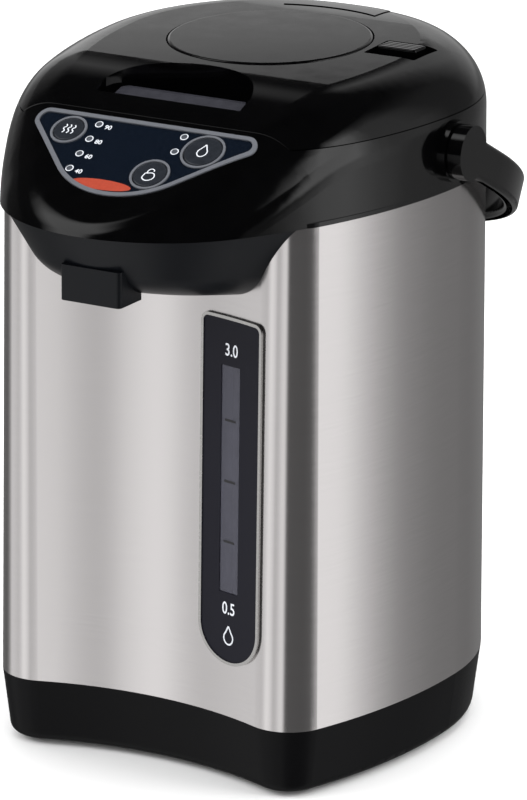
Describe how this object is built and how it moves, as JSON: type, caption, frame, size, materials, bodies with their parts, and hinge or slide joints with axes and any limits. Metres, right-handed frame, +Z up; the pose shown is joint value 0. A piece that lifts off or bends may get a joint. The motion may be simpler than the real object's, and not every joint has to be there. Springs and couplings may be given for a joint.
{
  "type": "hot water dispenser",
  "caption": "Electric airpot: stainless body on a black base, gloss head with spout and sloping control panel, hinged lid with press plate, folding handle and water gauge",
  "frame": {"origin": "middle of the whole outline, on the surface that it stands on", "axes": "+Z up, the spout and control panel face -Y, the water gauge is on the +X side"},
  "size_m": [0.219, 0.2834, 0.3215],
  "materials": {
    "base_black": "satin moulded",
    "gloss_black": "high gloss",
    "chin_black": "fine matt",
    "steel_brushed": "fine horizontal grain",
    "steel_plain": "satin",
    "silver_trim": "bright satin",
    "gauge_black": "satin printed",
    "clear_grey": "clear, slightly smoked",
    "panel_navy": "printed film",
    "button_dark": "domed gloss",
    "lens_white": "frosted",
    "board_green": "solder mask",
    "liner_grey": "moulded",
    "silicone": "translucent silicone",
    "rubber_black": "matt",
    "aluminium": "cast",
    "zinc": "zinc plated",
    "motor_steel": "plated can"
  },
  "bodies": {
    "stand": {"base_shell": "base_black", "base_cover": "base_black", "feet": "rubber_black", "base_screws": "zinc", "body_shell": "steel_brushed", "gauge_bezel": "silver_trim", "gauge_panel": "gauge_black", "gauge_window": "clear_grey", "sight_tube": "clear_grey", "inner_vessel": "steel_plain", "mouth_ring": "liner_grey", "heater_plate": "aluminium", "heater_element": "steel_plain", "thermostats": "zinc", "vessel_strap": "zinc", "pump_housing": "liner_grey", "pump_motor": "motor_steel", "suction_hose": "silicone", "riser_hose": "silicone", "spout_hose": "silicone", "spout_nozzle": "chin_black", "spout_guard": "chin_black", "spout_housing": "chin_black", "collar": "gloss_black", "panel_frame": "silver_trim", "panel_overlay": "panel_navy", "indicator_lenses": "lens_white", "button_bezels": "silver_trim", "control_board": "board_green", "power_board": "board_green", "inlet_socket": "base_black", "hinge_bracket": "gloss_black", "hinge_pin": "zinc", "handle_pivots": "zinc", "latch_keeper": "zinc"},
    "lid": {"lid_shell": "gloss_black", "lid_tray": "liner_grey", "inner_lid": "steel_plain", "lid_gasket": "rubber_black", "vent_cover": "gloss_black", "bellows": "rubber_black", "bellows_seat": "liner_grey", "pump_spring": "zinc", "lever_pin": "zinc", "lever_spring": "zinc", "lid_screws": "zinc"},
    "pump_plate": {"pump_plate": "gloss_black"},
    "lock_slider": {"lock_slider": "gloss_black"},
    "lid_lever": {"lid_lever": "gloss_black"},
    "handle": {"handle": "gloss_black"},
    "reheat_button": {"reheat_button": "button_dark"},
    "dispense_button": {"dispense_button": "button_dark"},
    "unlock_button": {"unlock_button": "button_dark"},
    "pump_impeller": {"pump_impeller": "liner_grey"}
  },
  "joints": [
    {"name": "lid_hinge", "type": "hinge", "parent": "stand", "child": "lid", "pos_m": [0, 0.11434, 0.3035], "axis": [-1, 0, 0], "range_deg": [0, 80]},
    {"name": "handle_swing", "type": "hinge", "parent": "stand", "child": "handle", "pos_m": [0, 0.01434, 0.2815], "axis": [1, 0, 0], "range_deg": [0, 120]},
    {"name": "press_plate", "type": "slide", "parent": "lid", "child": "pump_plate", "axis": [0, 0, -1], "range_m": [0, 0.018], "stiffness_N_per_m": 400, "springref_m": -0.006, "deforming": ["bellows", "pump_spring"]},
    {"name": "slider_lock", "type": "slide", "parent": "lid", "child": "lock_slider", "axis": [0, -1, 0], "range_m": [0, 0.008]},
    {"name": "lid_release", "type": "hinge", "parent": "lid", "child": "lid_lever", "pos_m": [0, -0.07016, 0.301], "axis": [1, 0, 0], "range_deg": [0, 16], "stiffness_Nm_per_rad": 0.08, "springref_deg": -8.59},
    {"name": "impeller_spin", "type": "hinge", "parent": "stand", "child": "pump_impeller", "pos_m": [0.041, -0.02366, 0.031], "axis": [0, 0, 1], "continuous": true},
    {"name": "reheat_button_press", "type": "slide", "parent": "stand", "child": "reheat_button", "axis": [0, 0.5, -0.866], "range_m": [0, 0.0008], "stiffness_N_per_m": 1200, "springref_m": -0.0006},
    {"name": "dispense_button_press", "type": "slide", "parent": "stand", "child": "dispense_button", "axis": [0, 0.5, -0.866], "range_m": [0, 0.0008], "stiffness_N_per_m": 1200, "springref_m": -0.0006},
    {"name": "unlock_button_press", "type": "slide", "parent": "stand", "child": "unlock_button", "axis": [0, 0.5, -0.866], "range_m": [0, 0.0008], "stiffness_N_per_m": 1200, "springref_m": -0.0006}
  ]
}
